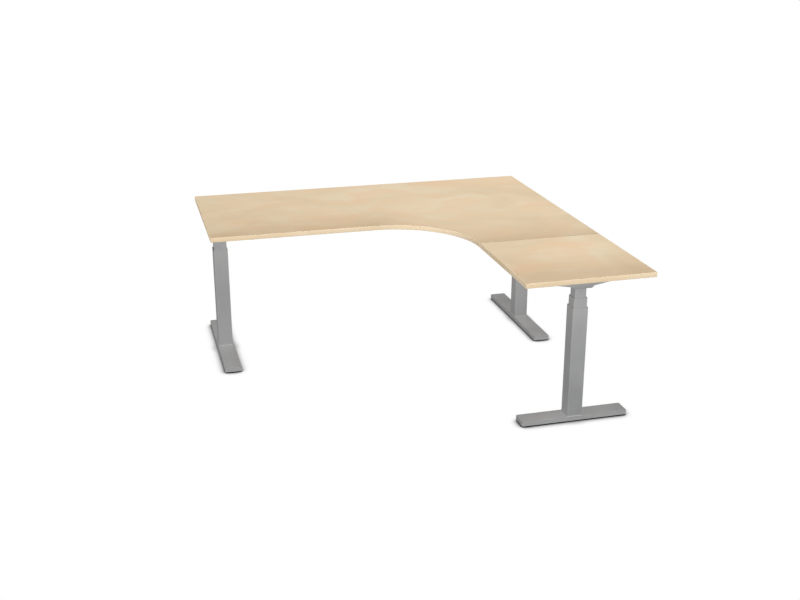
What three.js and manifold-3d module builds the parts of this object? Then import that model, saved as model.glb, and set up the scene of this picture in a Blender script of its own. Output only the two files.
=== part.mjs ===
// A corner standing desk: an L-shaped top in two panels on three telescopic, motor-driven columns.
// Millimetres, +Z up. The origin is on the floor, under the middle of the square that the top fills.
// +X runs to the right along the long back edge, and +Y points to the back.

import * as THREE from "three";
import { mergeVertices } from "three/addons/utils/BufferGeometryUtils.js";
import Module from "manifold-3d";

const wasm = await Module();
wasm.setup();

// Clearances.
const FIT_GAP = 0.3; // between pieces that touch
const SLIDE_GAP = 0.25; // between a guide liner and the tubes on both sides of it

// Desktop.
const DESK_SIZE = 1800; // both arms of the L, along X and along Y
const MAIN_DEPTH = 800; // the arm that runs along the back
const RETURN_WIDTH = 600; // the arm that runs to the front
const RETURN_LENGTH = 600; // the separate panel at its front end
const INNER_CORNER_RADIUS = 400;
const TOP_HEIGHT = 720;
const PANEL_THICKNESS = 22;
const BAND_THICKNESS = 2;
const SEAM_WIDTH = 2;

const HALF_DESK = DESK_SIZE / 2;
const UNDERSIDE = TOP_HEIGHT - PANEL_THICKNESS;
const MAIN_FRONT_Y = HALF_DESK - MAIN_DEPTH;
const RETURN_LEFT_X = HALF_DESK - RETURN_WIDTH;
const SEAM_Y = -HALF_DESK + RETURN_LENGTH;
const FRAME_TOP = UNDERSIDE - FIT_GAP;

// Feet and their levelling glides.
const FOOT_WIDTH = 84;
const FOOT_HEIGHT = 20;
const FOOT_BOTTOM = 5;
const FOOT_TOP = FOOT_BOTTOM + FOOT_HEIGHT;
const FOOT_WALL = 2.5;
const FOOT_CORNER = 7;
const FOOT_BEVEL = 2;
const LONG_FOOT = 700;
const SHORT_FOOT = 508;
const GLIDE_INSET = 45; // from the foot's end to the glide's axis
const GLIDE_RADIUS = 18;
const GLIDE_EDGE = 1.5;
const STUD_RADIUS = 4;
const BOSS_RADIUS = 8;
const BOSS_BOTTOM = FOOT_BOTTOM + 5;

// Telescopic columns: three square tubes in each other, stepped at the top when the desk is low.
const TUBE_WALL = 1.5;
const INNER_WALL = 2;
const OUTER_SIDE = 72;
const MIDDLE_SIDE = 63;
const INNER_SIDE = 54;
const TUBE_CORNER = 4.5;
const OUTER_TOP = 544;
const MIDDLE_TOP = 589;
const TUBE_LENGTH = 500;
const GUIDE_LENGTH = 42;
const COLUMN_PLATE_THICKNESS = 6;
const PLATE_HOLE_RADIUS = 3;
const PLATE_HOLE_OFFSET = 24;

// Drive inside each column: a screw, a threaded tube around it and a nut tube that stands in the foot.
const SPINDLE_RADIUS = 6;
const SPINDLE_BOTTOM = 125;
const SPINDLE_FLANGE_RADIUS = 14;
const SPINDLE_FLANGE_THICKNESS = 7;
const DRIVE_TUBE_RADIUS = 10;
const DRIVE_BORE_RADIUS = 6.8;
const DRIVE_TUBE_LENGTH = 376;
const NUT_TUBE_RADIUS = 15;
const NUT_TUBE_BORE = 12;
const NUT_BORE = 10.6;
const NUT_LENGTH = 25;
const NUT_TUBE_TOP = 430;
const ROUND_SIDES = 20;
const SMALL_HOLE_SIDES = 12;
const MOTOR_SIDES = 32;

// Gear housing, motor and support arm at the head of each column.
const HOUSING_LENGTH = 108;
const HOUSING_WIDTH = 92;
const HOUSING_BOTTOM = 638;
const HOUSING_CHAMFER = 9;
const HOUSING_TO_ARM = 1;
const ARM_WIDTH = 100;
const ARM_PLATE = 3;
const ARM_MIDDLE_HALF = 55;
const ARM_MIDDLE_BOTTOM = 650;
const ARM_END_DEPTH = 18;
const ARM_SHORTER_THAN_FOOT = 60;
const MOTOR_RADIUS = 22;
const MOTOR_LENGTH = 120;
const MOTOR_CAP_LENGTH = 14;
const MOTOR_CAP_STEP = 3;
const MOTOR_HEIGHT = 668;
const MOTOR_NOTCH_HALF = 24;

// Cross rails between the support arms.
const RAIL_WIDTH = 30;
const RAIL_HEIGHT = 32;
const RAIL_WALL = 2;
const RAIL_SPREAD = 60; // from the columns' line to each rail's middle

// Columns: the middle of each one, its foot's length and turn about Z, and the foot's two ends.
const COLUMN_INSET = 80;
const RETURN_COLUMN_INSET = 146;
const RETURN_COLUMN_FROM_RIGHT = 297;
const COLUMN_BACK_Y = HALF_DESK - MAIN_DEPTH / 2;
const QUARTER_TURN = Math.PI / 2;
const COLUMNS = [
  {
    name: "left",
    x: -HALF_DESK + COLUMN_INSET,
    y: COLUMN_BACK_Y,
    footLength: LONG_FOOT,
    turn: -QUARTER_TURN,
    ends: ["back", "front"],
  },
  {
    name: "corner",
    x: HALF_DESK - COLUMN_INSET,
    y: COLUMN_BACK_Y,
    footLength: LONG_FOOT,
    turn: QUARTER_TURN,
    ends: ["front", "back"],
  },
  {
    name: "return",
    x: HALF_DESK - RETURN_COLUMN_FROM_RIGHT,
    y: -HALF_DESK + RETURN_COLUMN_INSET,
    footLength: SHORT_FOOT,
    turn: 0,
    ends: ["left", "right"],
  },
];

// Control box.
const BOX_LENGTH = 260;
const BOX_WIDTH = 100;
const BOX_HEIGHT = 40;
const BOX_X = -150;
const BOX_Y = 650;
const BOX_CORNER = 6;
const CASE_BEVEL = 1.5;
const SOCKET = { width: 11, height: 8, depth: 10, pitch: 22, count: 4 };
const INLET = { width: 27, height: 20, depth: 16 };
const LUG = { reach: 14, width: 24, thickness: 3, holeRadius: 2.5, fromEnd: 40 };

// Handset with its push buttons, set back under the front edge.
const HANDSET_LENGTH = 110;
const HANDSET_DEPTH = 60;
const HANDSET_HEIGHT = 18;
const HANDSET_X = -300;
const HANDSET_SETBACK = 75;
const HANDSET_CORNER = 5;
const BUTTON_NAMES = ["up", "down", "memory_1", "memory_2"];
const BUTTON = { width: 12, height: 8, corner: 2, length: 7, proud: 1.2, pitch: 16, pocket: 10 };
const FIRST_BUTTON_OFFSET = -6; // from the handset's middle
const WINDOW = { width: 30, height: 9, thickness: 1.6, offset: -34 };

// Plates that join the two panels from below.
const JOINING_PLATE = { width: 40, length: 120, thickness: 3, corner: 6, fromEdge: 100 };

// How finely curves are cut: three.js gives an arc two steps for each segment asked for.
const CORNER_SEGMENTS = 2;
const LONG_ARC_SEGMENTS = 16;

const laminate = new THREE.MeshStandardMaterial({ color: 0xe3cca6, roughness: 0.45, metalness: 0 });
const edgeBand = new THREE.MeshStandardMaterial({ color: 0xe8d6b2, roughness: 0.5, metalness: 0 });
const silverPaint = new THREE.MeshStandardMaterial({ color: 0x9c9c9c, roughness: 0.5, metalness: 0.3 });
const zincSteel = new THREE.MeshStandardMaterial({ color: 0xb4b6b8, roughness: 0.35, metalness: 1 });
const castAluminium = new THREE.MeshStandardMaterial({ color: 0x98989b, roughness: 0.55, metalness: 0.5 });
const blackPaint = new THREE.MeshStandardMaterial({ color: 0x202022, roughness: 0.4, metalness: 0.2 });
const blackPlastic = new THREE.MeshStandardMaterial({ color: 0x1b1b1d, roughness: 0.6, metalness: 0 });
const guidePlastic = new THREE.MeshStandardMaterial({ color: 0x2b2b2d, roughness: 0.6, metalness: 0 });
const buttonPlastic = new THREE.MeshStandardMaterial({ color: 0x4a4d50, roughness: 0.5, metalness: 0 });
const darkWindow = new THREE.MeshStandardMaterial({ color: 0x08080a, roughness: 0.15, metalness: 0 });

// A closed three.js geometry as a manifold solid, and back.
function solidOf(geometry) {
  const bare = geometry.index ? geometry.toNonIndexed() : geometry.clone();
  bare.deleteAttribute("normal");
  bare.deleteAttribute("uv");
  const merged = mergeVertices(bare, 1e-4);
  const vertProperties = merged.attributes.position.array;
  const triVerts = new Uint32Array(merged.index.array);
  return new wasm.Manifold(new wasm.Mesh({ numProp: 3, vertProperties, triVerts }));
}

function geometryOf(solid) {
  const mesh = solid.getMesh();
  const geometry = new THREE.BufferGeometry();
  geometry.setAttribute("position", new THREE.BufferAttribute(mesh.vertProperties, 3));
  geometry.setIndex(new THREE.BufferAttribute(mesh.triVerts, 1));
  const faceted = geometry.toNonIndexed();
  faceted.computeVertexNormals();
  return faceted;
}

function subtract(geometry, ...cuts) {
  const rest = cuts.reduce((solid, cut) => solid.subtract(solidOf(cut)), solidOf(geometry));
  return geometryOf(rest);
}

function join(geometry, ...others) {
  const whole = others.reduce((solid, other) => solid.add(solidOf(other)), solidOf(geometry));
  return geometryOf(whole);
}

// A box from its lowest to its highest corner.
function box(low, high) {
  const size = high.map((value, i) => value - low[i]);
  const middle = high.map((value, i) => (value + low[i]) / 2);
  return new THREE.BoxGeometry(...size).translate(...middle);
}

// A rectangle about the origin with round corners.
function roundedRectangle(length, width, radius) {
  const x = length / 2;
  const y = width / 2;
  const shape = new THREE.Shape();
  shape.absarc(x - radius, y - radius, radius, 0, Math.PI / 2);
  shape.absarc(-x + radius, y - radius, radius, Math.PI / 2, Math.PI);
  shape.absarc(-x + radius, -y + radius, radius, Math.PI, 1.5 * Math.PI);
  shape.absarc(x - radius, -y + radius, radius, 1.5 * Math.PI, 2 * Math.PI);
  return shape;
}

function polygon(points) {
  return new THREE.Shape(points.map(([x, y]) => new THREE.Vector2(x, y)));
}

function prism(shape, bottom, top, curveSegments = CORNER_SEGMENTS) {
  const options = { depth: top - bottom, bevelEnabled: false, curveSegments };
  return new THREE.ExtrudeGeometry(shape, options).translate(0, 0, bottom);
}

// A prism whose top and bottom edges are rounded inside its outline.
function roundedPrism(shape, bottom, top, bevel) {
  const geometry = new THREE.ExtrudeGeometry(shape, {
    depth: top - bottom - 2 * bevel,
    bevelEnabled: true,
    bevelThickness: bevel,
    bevelSize: bevel,
    bevelOffset: -bevel,
    bevelSegments: 2,
    curveSegments: CORNER_SEGMENTS,
  });
  return geometry.translate(0, 0, bottom + bevel);
}

// A ring between two outlines.
function frame(outer, inner, bottom, top, curveSegments = CORNER_SEGMENTS) {
  outer.holes.push(inner);
  return prism(outer, bottom, top, curveSegments);
}

function squareTube(side, wall, bottom, top, corner) {
  const outer = roundedRectangle(side, side, corner);
  const inner = roundedRectangle(side - 2 * wall, side - 2 * wall, corner - wall / 2);
  return frame(outer, inner, bottom, top);
}

// A solid of revolution about Z through [radius, height] points.
function turned(points, sides = ROUND_SIDES) {
  const profile = points.map(([radius, height]) => new THREE.Vector2(radius, height));
  return new THREE.LatheGeometry(profile, sides).rotateX(Math.PI / 2);
}

function roundBar(radius, bottom, top, sides = ROUND_SIDES) {
  return turned([[0, bottom], [radius, bottom], [radius, top], [0, top]], sides);
}

function roundTube(radius, bore, bottom, top) {
  return turned([[bore, bottom], [radius, bottom], [radius, top], [bore, top], [bore, bottom]]);
}

function part(name, geometry, material) {
  const mesh = new THREE.Mesh(geometry, material);
  mesh.name = name;
  return mesh;
}

// The main panel's outline, drawn in by inset: an L with a concave quarter arc in its inner corner.
function mainOutline(inset) {
  const frontY = MAIN_FRONT_Y + inset;
  const seamY = SEAM_Y + SEAM_WIDTH / 2 + inset;
  const centreX = RETURN_LEFT_X - INNER_CORNER_RADIUS;
  const centreY = MAIN_FRONT_Y - INNER_CORNER_RADIUS;
  const radius = INNER_CORNER_RADIUS + inset;
  const lastAngle = Math.asin((seamY - centreY) / radius);
  const shape = new THREE.Shape();
  shape.moveTo(-HALF_DESK + inset, HALF_DESK - inset);
  shape.lineTo(-HALF_DESK + inset, frontY);
  shape.absarc(centreX, centreY, radius, Math.PI / 2, lastAngle, true);
  shape.lineTo(HALF_DESK - inset, seamY);
  shape.lineTo(HALF_DESK - inset, HALF_DESK - inset);
  shape.closePath();
  return shape;
}

function returnOutline(inset) {
  const left = RETURN_LEFT_X + inset;
  const right = HALF_DESK - inset;
  const front = -HALF_DESK + inset;
  const seamY = SEAM_Y - SEAM_WIDTH / 2 - inset;
  return polygon([
    [left, front],
    [right, front],
    [right, seamY],
    [left, seamY],
  ]);
}

// A panel and the band around its edge, both from one outline function.
function panelWithBand(name, outline) {
  const core = prism(outline(BAND_THICKNESS + FIT_GAP), UNDERSIDE, TOP_HEIGHT, LONG_ARC_SEGMENTS);
  const band = frame(outline(0), outline(BAND_THICKNESS), UNDERSIDE, TOP_HEIGHT, LONG_ARC_SEGMENTS);
  return [part(`desktop_${name}`, core, laminate), part(`edge_band_${name}`, band, edgeBand)];
}

// A foot: a sheet-metal channel, open below, with a threaded boss for each glide.
function foot(length) {
  const outline = roundedRectangle(length, FOOT_WIDTH, FOOT_CORNER);
  const skirt = 2 * FOOT_BEVEL;
  const block = roundedPrism(outline, FOOT_BOTTOM - skirt, FOOT_TOP, FOOT_BEVEL);
  const below = box([-length, -FOOT_WIDTH, -skirt], [length, FOOT_WIDTH, FOOT_BOTTOM]);
  const inside = roundedRectangle(
    length - 2 * FOOT_WALL,
    FOOT_WIDTH - 2 * FOOT_WALL,
    FOOT_CORNER - FOOT_WALL,
  );
  const hollow = prism(inside, 0, FOOT_TOP - FOOT_WALL);
  const channel = subtract(block, below, hollow);
  const glideX = length / 2 - GLIDE_INSET;
  const bosses = [-glideX, glideX].map((x) =>
    roundBar(BOSS_RADIUS, BOSS_BOTTOM, FOOT_TOP - FOOT_WALL / 2).translate(x, 0, 0),
  );
  const bores = [-glideX, glideX].map((x) =>
    roundBar(STUD_RADIUS + 2 * SLIDE_GAP, 0, FOOT_TOP - 2 * FOOT_WALL + 1).translate(x, 0, 0),
  );
  return subtract(join(channel, ...bosses), ...bores);
}

// A levelling glide: a flat pad on a threaded stud.
function glide() {
  const padTop = FOOT_BOTTOM;
  const studTop = FOOT_TOP - 2 * FOOT_WALL;
  return turned([
    [0, 0],
    [GLIDE_RADIUS - GLIDE_EDGE, 0],
    [GLIDE_RADIUS, GLIDE_EDGE],
    [GLIDE_RADIUS, padTop - 1],
    [STUD_RADIUS + 3, padTop + 2],
    [STUD_RADIUS, padTop + 3],
    [STUD_RADIUS, studTop - 1],
    [STUD_RADIUS - 1, studTop],
    [0, studTop],
  ]);
}

// A thin liner between two tubes, just under the rim of the outer one.
function guideLiner(insideOfOuter, outsideOfInner, top) {
  const outer = insideOfOuter - 2 * SLIDE_GAP;
  const inner = outsideOfInner + 2 * SLIDE_GAP;
  return frame(
    roundedRectangle(outer, outer, TUBE_CORNER),
    roundedRectangle(inner, inner, TUBE_CORNER - SLIDE_GAP),
    top - GUIDE_LENGTH,
    top - 1,
  );
}

function spindle() {
  const top = HOUSING_BOTTOM - FIT_GAP;
  return turned([
    [0, SPINDLE_BOTTOM],
    [SPINDLE_RADIUS - 1, SPINDLE_BOTTOM],
    [SPINDLE_RADIUS, SPINDLE_BOTTOM + 1],
    [SPINDLE_RADIUS, top - SPINDLE_FLANGE_THICKNESS],
    [SPINDLE_FLANGE_RADIUS, top - SPINDLE_FLANGE_THICKNESS],
    [SPINDLE_FLANGE_RADIUS, top],
    [0, top],
  ]);
}

// The nut tube is welded to the plate that closes the column's foot end, which has four threaded
// holes. Its bore narrows to the nut at its top.
function nutTube() {
  const side = OUTER_SIDE - 2 * TUBE_WALL - 2 * SLIDE_GAP;
  const bottom = FOOT_TOP + FIT_GAP;
  const plateTop = bottom + COLUMN_PLATE_THICKNESS;
  const plate = prism(roundedRectangle(side, side, TUBE_CORNER), bottom, plateTop);
  const tube = turned([
    [NUT_TUBE_BORE, bottom],
    [NUT_TUBE_RADIUS, bottom],
    [NUT_TUBE_RADIUS, NUT_TUBE_TOP],
    [NUT_BORE, NUT_TUBE_TOP],
    [NUT_BORE, NUT_TUBE_TOP - NUT_LENGTH],
    [NUT_TUBE_BORE, NUT_TUBE_TOP - NUT_LENGTH],
    [NUT_TUBE_BORE, bottom],
  ]);
  const corners = [[-1, -1], [1, -1], [1, 1], [-1, 1]];
  const holes = corners.map(([x, y]) =>
    roundBar(PLATE_HOLE_RADIUS, 0, OUTER_TOP, SMALL_HOLE_SIDES)
      .translate(x * PLATE_HOLE_OFFSET, y * PLATE_HOLE_OFFSET, 0),
  );
  return subtract(join(plate, tube), ...holes);
}

// A side view in X and Z, drawn out across the foot to a width about Y = 0.
function acrossFoot(side, width) {
  return prism(side, 0, width).rotateX(Math.PI / 2).translate(0, width / 2, 0);
}

function gearHousing() {
  const half = HOUSING_LENGTH / 2;
  const top = FRAME_TOP - ARM_PLATE - HOUSING_TO_ARM;
  const side = polygon([
    [-half, top],
    [-half, HOUSING_BOTTOM + HOUSING_CHAMFER],
    [-half + HOUSING_CHAMFER, HOUSING_BOTTOM],
    [half - HOUSING_CHAMFER, HOUSING_BOTTOM],
    [half, HOUSING_BOTTOM + HOUSING_CHAMFER],
    [half, top],
  ]);
  return acrossFoot(side, HOUSING_WIDTH);
}

// The motor lies across the arm, with its axis along +Y and a smaller end cap.
function motor() {
  const start = HOUSING_WIDTH / 2 + FIT_GAP;
  const end = start + MOTOR_LENGTH;
  const profile = [
    [0, start],
    [MOTOR_RADIUS - 1, start],
    [MOTOR_RADIUS, start + 1],
    [MOTOR_RADIUS, end - MOTOR_CAP_LENGTH],
    [MOTOR_RADIUS - MOTOR_CAP_STEP, end - MOTOR_CAP_LENGTH + MOTOR_CAP_STEP],
    [MOTOR_RADIUS - MOTOR_CAP_STEP, end - 1],
    [MOTOR_RADIUS - MOTOR_CAP_STEP - 1, end],
    [0, end],
  ];
  return turned(profile, MOTOR_SIDES).rotateX(-Math.PI / 2).translate(0, 0, MOTOR_HEIGHT);
}

// A support arm: an inverted channel that grows thinner to both ends, with a notch for the motor.
function supportArm(footLength) {
  const half = (footLength - ARM_SHORTER_THAN_FOOT) / 2;
  const endBottom = FRAME_TOP - ARM_END_DEPTH;
  const side = polygon([
    [-half, FRAME_TOP],
    [-half, endBottom],
    [-ARM_MIDDLE_HALF, ARM_MIDDLE_BOTTOM],
    [ARM_MIDDLE_HALF, ARM_MIDDLE_BOTTOM],
    [half, endBottom],
    [half, FRAME_TOP],
  ]);
  const insideHalfLength = half - ARM_PLATE;
  const insideHalfWidth = ARM_WIDTH / 2 - ARM_PLATE;
  const webBottom = FRAME_TOP - ARM_PLATE;
  const hollow = box(
    [-insideHalfLength, -insideHalfWidth, 0],
    [insideHalfLength, insideHalfWidth, webBottom],
  );
  const notch = box(
    [-MOTOR_NOTCH_HALF, 0, 0],
    [MOTOR_NOTCH_HALF, ARM_WIDTH, MOTOR_HEIGHT + MOTOR_NOTCH_HALF],
  );
  return subtract(acrossFoot(side, ARM_WIDTH), hollow, notch);
}

// One leg in its own frame: its foot lies along X, and its motor points to +Y.
function leg({ name, x, y, footLength, turn, ends }) {
  const group = new THREE.Group();
  const middleInside = MIDDLE_SIDE - 2 * TUBE_WALL;
  const outerInside = OUTER_SIDE - 2 * TUBE_WALL;
  const middleBottom = MIDDLE_TOP - TUBE_LENGTH;
  const innerTop = HOUSING_BOTTOM - FIT_GAP;
  const outerTube = squareTube(OUTER_SIDE, TUBE_WALL, FOOT_TOP + FIT_GAP, OUTER_TOP, TUBE_CORNER);
  const middleTube = squareTube(MIDDLE_SIDE, TUBE_WALL, middleBottom, MIDDLE_TOP, TUBE_CORNER);
  const innerTube = squareTube(INNER_SIDE, INNER_WALL, innerTop - TUBE_LENGTH, innerTop, TUBE_CORNER);
  const driveTube = roundTube(
    DRIVE_TUBE_RADIUS,
    DRIVE_BORE_RADIUS,
    middleBottom,
    middleBottom + DRIVE_TUBE_LENGTH,
  );
  group.add(
    part(`foot_${name}`, foot(footLength), silverPaint),
    part(`outer_tube_${name}`, outerTube, silverPaint),
    part(`outer_guide_${name}`, guideLiner(outerInside, MIDDLE_SIDE, OUTER_TOP), guidePlastic),
    part(`nut_tube_${name}`, nutTube(), zincSteel),
    part(`middle_tube_${name}`, middleTube, silverPaint),
    part(`middle_guide_${name}`, guideLiner(middleInside, INNER_SIDE, MIDDLE_TOP), guidePlastic),
    part(`drive_tube_${name}`, driveTube, zincSteel),
    part(`inner_tube_${name}`, innerTube, silverPaint),
    part(`spindle_${name}`, spindle(), zincSteel),
    part(`gear_housing_${name}`, gearHousing(), castAluminium),
    part(`motor_${name}`, motor(), blackPaint),
    part(`support_arm_${name}`, supportArm(footLength), silverPaint),
  );
  ends.forEach((end, i) => {
    const pad = part(`glide_${name}_${end}`, glide(), blackPlastic);
    pad.position.x = (2 * i - 1) * (footLength / 2 - GLIDE_INSET);
    group.add(pad);
  });
  group.position.set(x, y, 0);
  group.rotation.z = turn;
  return group;
}

// A rectangular tube along X from start to end, at the height of the frame.
function railAlongX(start, end) {
  const low = FRAME_TOP - RAIL_HEIGHT;
  const block = box([start, -RAIL_WIDTH / 2, low], [end, RAIL_WIDTH / 2, FRAME_TOP]);
  const bore = box(
    [start - 1, -RAIL_WIDTH / 2 + RAIL_WALL, low + RAIL_WALL],
    [end + 1, RAIL_WIDTH / 2 - RAIL_WALL, FRAME_TOP - RAIL_WALL],
  );
  return subtract(block, bore);
}

// Two rails join the left and corner arms, and two more run from these to the return arm.
function rails() {
  const [left, corner, front] = COLUMNS;
  const armReach = ARM_WIDTH / 2 + FIT_GAP;
  const group = new THREE.Group();
  ["front", "back"].forEach((side, i) => {
    const offset = (2 * i - 1) * RAIL_SPREAD;
    const geometry = railAlongX(left.x + armReach, corner.x - armReach);
    const rail = part(`main_rail_${side}`, geometry, silverPaint);
    rail.position.y = COLUMN_BACK_Y + offset;
    group.add(rail);
  });
  const returnEnd = COLUMN_BACK_Y - RAIL_SPREAD - RAIL_WIDTH / 2 - FIT_GAP;
  ["left", "right"].forEach((side, i) => {
    const offset = (2 * i - 1) * RAIL_SPREAD;
    const geometry = railAlongX(front.y + armReach, returnEnd);
    const rail = part(`return_rail_${side}`, geometry, silverPaint);
    rail.rotation.z = Math.PI / 2;
    rail.position.x = front.x + offset;
    group.add(rail);
  });
  return group;
}

function controlBox() {
  const bottom = FRAME_TOP - BOX_HEIGHT;
  const outline = roundedRectangle(BOX_LENGTH, BOX_WIDTH, BOX_CORNER);
  const body = roundedPrism(outline, bottom, FRAME_TOP, CASE_BEVEL);
  const middle = FRAME_TOP - BOX_HEIGHT / 2;
  const endX = BOX_LENGTH / 2;
  const sockets = Array.from({ length: SOCKET.count }, (_, i) => {
    const y = (i - (SOCKET.count - 1) / 2) * SOCKET.pitch;
    return box(
      [-endX - 1, y - SOCKET.width / 2, middle - SOCKET.height / 2],
      [-endX + SOCKET.depth, y + SOCKET.width / 2, middle + SOCKET.height / 2],
    );
  });
  const inlet = box(
    [endX - INLET.depth, -INLET.width / 2, middle - INLET.height / 2],
    [endX + 1, INLET.width / 2, middle + INLET.height / 2],
  );
  const lugs = [];
  const holes = [];
  [-1, 1].forEach((side) => {
    const x = side * (endX - LUG.fromEnd);
    const y = BOX_WIDTH / 2 + LUG.reach;
    lugs.push(box([x - LUG.width / 2, -y, FRAME_TOP - LUG.thickness], [x + LUG.width / 2, y, FRAME_TOP]));
    [-1, 1].forEach((edge) => {
      const hole = roundBar(LUG.holeRadius, bottom, TOP_HEIGHT, SMALL_HOLE_SIDES);
      holes.push(hole.translate(x, edge * (y - LUG.reach / 2), 0));
    });
  });
  const geometry = subtract(join(body, ...lugs), ...sockets, inlet, ...holes);
  const mesh = part("control_box", geometry, blackPlastic);
  mesh.position.set(BOX_X, BOX_Y, 0);
  return mesh;
}

// The handset's case, with a pocket for its window and one for each button.
function handset() {
  const group = new THREE.Group();
  const front = MAIN_FRONT_Y + HANDSET_SETBACK;
  const bottom = FRAME_TOP - HANDSET_HEIGHT;
  const middle = FRAME_TOP - HANDSET_HEIGHT / 2;
  const outline = roundedRectangle(HANDSET_LENGTH, HANDSET_DEPTH, HANDSET_CORNER);
  const block = roundedPrism(outline, bottom, FRAME_TOP, CASE_BEVEL);
  block.translate(HANDSET_X, front + HANDSET_DEPTH / 2, 0);
  const cut = (x, width, height, depth) =>
    box(
      [x - width / 2, front - 1, middle - height / 2],
      [x + width / 2, front + depth, middle + height / 2],
    );
  const windowX = HANDSET_X + WINDOW.offset;
  const windowPocket = cut(
    windowX,
    WINDOW.width + 2 * FIT_GAP,
    WINDOW.height + 2 * FIT_GAP,
    WINDOW.thickness + FIT_GAP,
  );
  const buttonXs = BUTTON_NAMES.map((_, i) => HANDSET_X + FIRST_BUTTON_OFFSET + i * BUTTON.pitch);
  const pockets = buttonXs.map((x) =>
    cut(x, BUTTON.width + 2 * FIT_GAP, BUTTON.height + 2 * FIT_GAP, BUTTON.pocket),
  );
  group.add(part("handset_case", subtract(block, windowPocket, ...pockets), blackPlastic));
  const pane = box(
    [windowX - WINDOW.width / 2, front, middle - WINDOW.height / 2],
    [windowX + WINDOW.width / 2, front + WINDOW.thickness, middle + WINDOW.height / 2],
  );
  group.add(part("handset_window", pane, darkWindow));
  BUTTON_NAMES.forEach((name, i) => {
    const cap = prism(roundedRectangle(BUTTON.width, BUTTON.height, BUTTON.corner), 0, BUTTON.length);
    cap.rotateX(Math.PI / 2).translate(buttonXs[i], front - BUTTON.proud + BUTTON.length, middle);
    group.add(part(`button_${name}`, cap, buttonPlastic));
  });
  return group;
}

// Steel plates under the seam, one near each side of the return.
function joiningPlates() {
  const xs = [RETURN_LEFT_X + JOINING_PLATE.fromEdge, HALF_DESK - JOINING_PLATE.fromEdge];
  return xs.map((x, i) => {
    const plate = roundedRectangle(JOINING_PLATE.width, JOINING_PLATE.length, JOINING_PLATE.corner);
    const geometry = prism(plate, FRAME_TOP - JOINING_PLATE.thickness, FRAME_TOP);
    const mesh = part(`joining_plate_${i + 1}`, geometry, zincSteel);
    mesh.position.set(x, SEAM_Y, 0);
    return mesh;
  });
}

const desk = new THREE.Group();
desk.add(...panelWithBand("main", mainOutline), ...panelWithBand("return", returnOutline));
desk.add(...COLUMNS.map(leg));
desk.add(rails(), controlBox(), handset(), ...joiningPlates());

export default desk;
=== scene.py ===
"""Looks for the corner standing desk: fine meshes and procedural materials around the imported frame.

Metres, in the row's frame: +Z up, +X right along the long back edge, +Y to the back.
A leg's own frame has its foot along X, and its motor on the +Y side.
"""

from math import atan2, cos, pi, radians, sin, tan

import bpy
from mathutils import Matrix, Vector


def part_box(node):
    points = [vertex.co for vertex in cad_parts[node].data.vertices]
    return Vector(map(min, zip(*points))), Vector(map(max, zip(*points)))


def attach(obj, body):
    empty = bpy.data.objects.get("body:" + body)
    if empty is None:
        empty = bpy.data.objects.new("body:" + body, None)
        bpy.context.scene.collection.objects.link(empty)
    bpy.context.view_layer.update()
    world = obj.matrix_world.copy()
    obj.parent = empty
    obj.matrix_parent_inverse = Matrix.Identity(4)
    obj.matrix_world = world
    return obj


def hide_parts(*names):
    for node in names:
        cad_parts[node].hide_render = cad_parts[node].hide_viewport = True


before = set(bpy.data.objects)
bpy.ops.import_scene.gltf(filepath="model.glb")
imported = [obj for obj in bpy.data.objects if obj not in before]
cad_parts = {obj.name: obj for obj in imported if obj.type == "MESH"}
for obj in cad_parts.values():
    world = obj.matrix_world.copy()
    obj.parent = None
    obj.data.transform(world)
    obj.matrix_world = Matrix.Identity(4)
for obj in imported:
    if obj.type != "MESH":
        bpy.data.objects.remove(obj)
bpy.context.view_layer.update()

MM = 0.001
HAIR = 0.3 * MM  # the gap that touching pieces keep
SHARP_TURN = radians(32)  # an edge that turns more than this stays sharp

# Desktop.
MAIN_DEPTH = 800 * MM
INNER_CORNER_RADIUS = 400 * MM
INNER_CORNER_STEPS = 72
PANEL_CORNER = 1.6 * MM
PANEL_CORNER_STEPS = 4
BAND = 2 * MM
BAND_ROUNDING = 1 * MM
BOARD_INSET = BAND + 0.08 * MM
BOARD_LOWER_BEVEL = 0.25 * MM
BOARD_UPPER_BEVEL = 0.15 * MM
# The seam's painted shade: a dark strip that fills the gap between the panels' edging.
SEAM_SHADE_GAP = 0.02 * MM
SEAM_SHADE_ROUNDING = 0.1 * MM
SEAM_SHADE_RISE = 1 * MM

# Where each panel's painted front shade is deepest: the Y of that line on the left and on the right.
FRONT_SHADE_LINES = {"main": (100 * MM, -300 * MM), "return": (-840 * MM, -840 * MM)}
INNER_CORNER_SPAN = (-100 * MM, 300 * MM)
# The X span of the laminate's painted light falloff: darkest at the left end, full colour at the right.
LIGHT_FALLOFF_SPAN = (-900 * MM, 700 * MM)

# Legs: name, turn of the foot about Z, and the ends of the foot along its own X.
LEGS = {
    "left": (-pi / 2, ("back", "front")),
    "corner": (pi / 2, ("front", "back")),
    "return": (0, ("left", "right")),
}
TUBE_CORNER = 5 * MM
TUBE_WALLS = {"outer": 1.5 * MM, "middle": 1.5 * MM, "inner": 2 * MM}
RIM_ROUNDING = 0.5 * MM

FOOT_WALL = 2.5 * MM
FOOT_CORNER = 7 * MM
FOOT_ROUNDING = 1.4 * MM
FOOT_COVER = 2 * MM
FOOT_GROOVE = 1 * MM
FOOT_GROOVE_DEPTH = 1.1 * MM
FOOT_BEVEL = 0.3 * MM
FOOT_BOLT_PLACE = 24 * MM
WASHER = 1.6 * MM

GLIDE_INSET = 45 * MM
GLIDE_KNURL = 0.35 * MM
STUD_FOOT = 7 * MM
THREAD_START = 7.6 * MM
THREAD_TURNS = 9
THREAD_PITCH = 1.25 * MM
THREAD_ROOT = 3.4 * MM
THREAD_CREST = 4 * MM
STUD_TIP = 3.2 * MM

HOUSING_CHAMFER = 9 * MM
HOUSING_ROUNDING = 2.5 * MM
HOUSING_GROOVE = 0.7 * MM
HOUSING_SCREW_PLACE = 38 * MM
RIB_PITCH = 12 * MM
RIB_HALF = 1.5 * MM

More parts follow.
